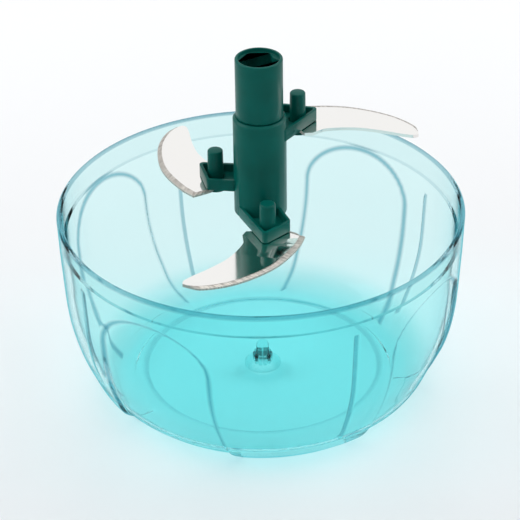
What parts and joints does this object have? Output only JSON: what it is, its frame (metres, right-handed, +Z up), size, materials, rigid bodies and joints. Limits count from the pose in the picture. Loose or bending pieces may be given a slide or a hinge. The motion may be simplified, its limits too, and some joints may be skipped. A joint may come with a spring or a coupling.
{
  "type": "pull cord food chopper bowl and blade unit",
  "caption": "Round clear plastic chopper bowl with a centre pin, and a green hub carrying staggered curved steel blades, shown lifted out above it.",
  "frame": {"origin": "centre of the bowl's underside, on the bowl's axis", "axes": "+Z up along the axis of the bowl, the pin and the hub; the picture looks along +Y from above"},
  "size_m": [0.124, 0.124, 0.111],
  "materials": {
    "clear_aqua": "clear tinted, polished",
    "clear_ring": "clear tinted, slightly dull",
    "green_hub": "satin gloss, dark green",
    "green_sleeve": "satin gloss, dark green",
    "steel": "mirror polished, with a ground edge",
    "green_peg": "satin gloss, dark green"
  },
  "bodies": {
    "bowl_body": {"bowl": "clear_aqua"},
    "ring_body": {"thrust_ring": "clear_ring"},
    "blade_unit": {"blade_hub": "green_hub", "drive_sleeve": "green_sleeve", "blade_low": "steel", "blade_middle": "steel", "blade_high": "steel", "peg_low": "green_peg", "peg_middle": "green_peg", "peg_high": "green_peg"}
  },
  "joints": [
    {"name": "blade_spin", "type": "hinge", "parent": "bowl_body", "child": "ring_body", "pos_m": [0, 0, 0.003], "axis": [0, 0, 1], "continuous": true},
    {"name": "blade_lift", "type": "slide", "parent": "ring_body", "child": "blade_unit", "axis": [0, 0, 1], "range_m": [-0.0527, 0.012]}
  ]
}
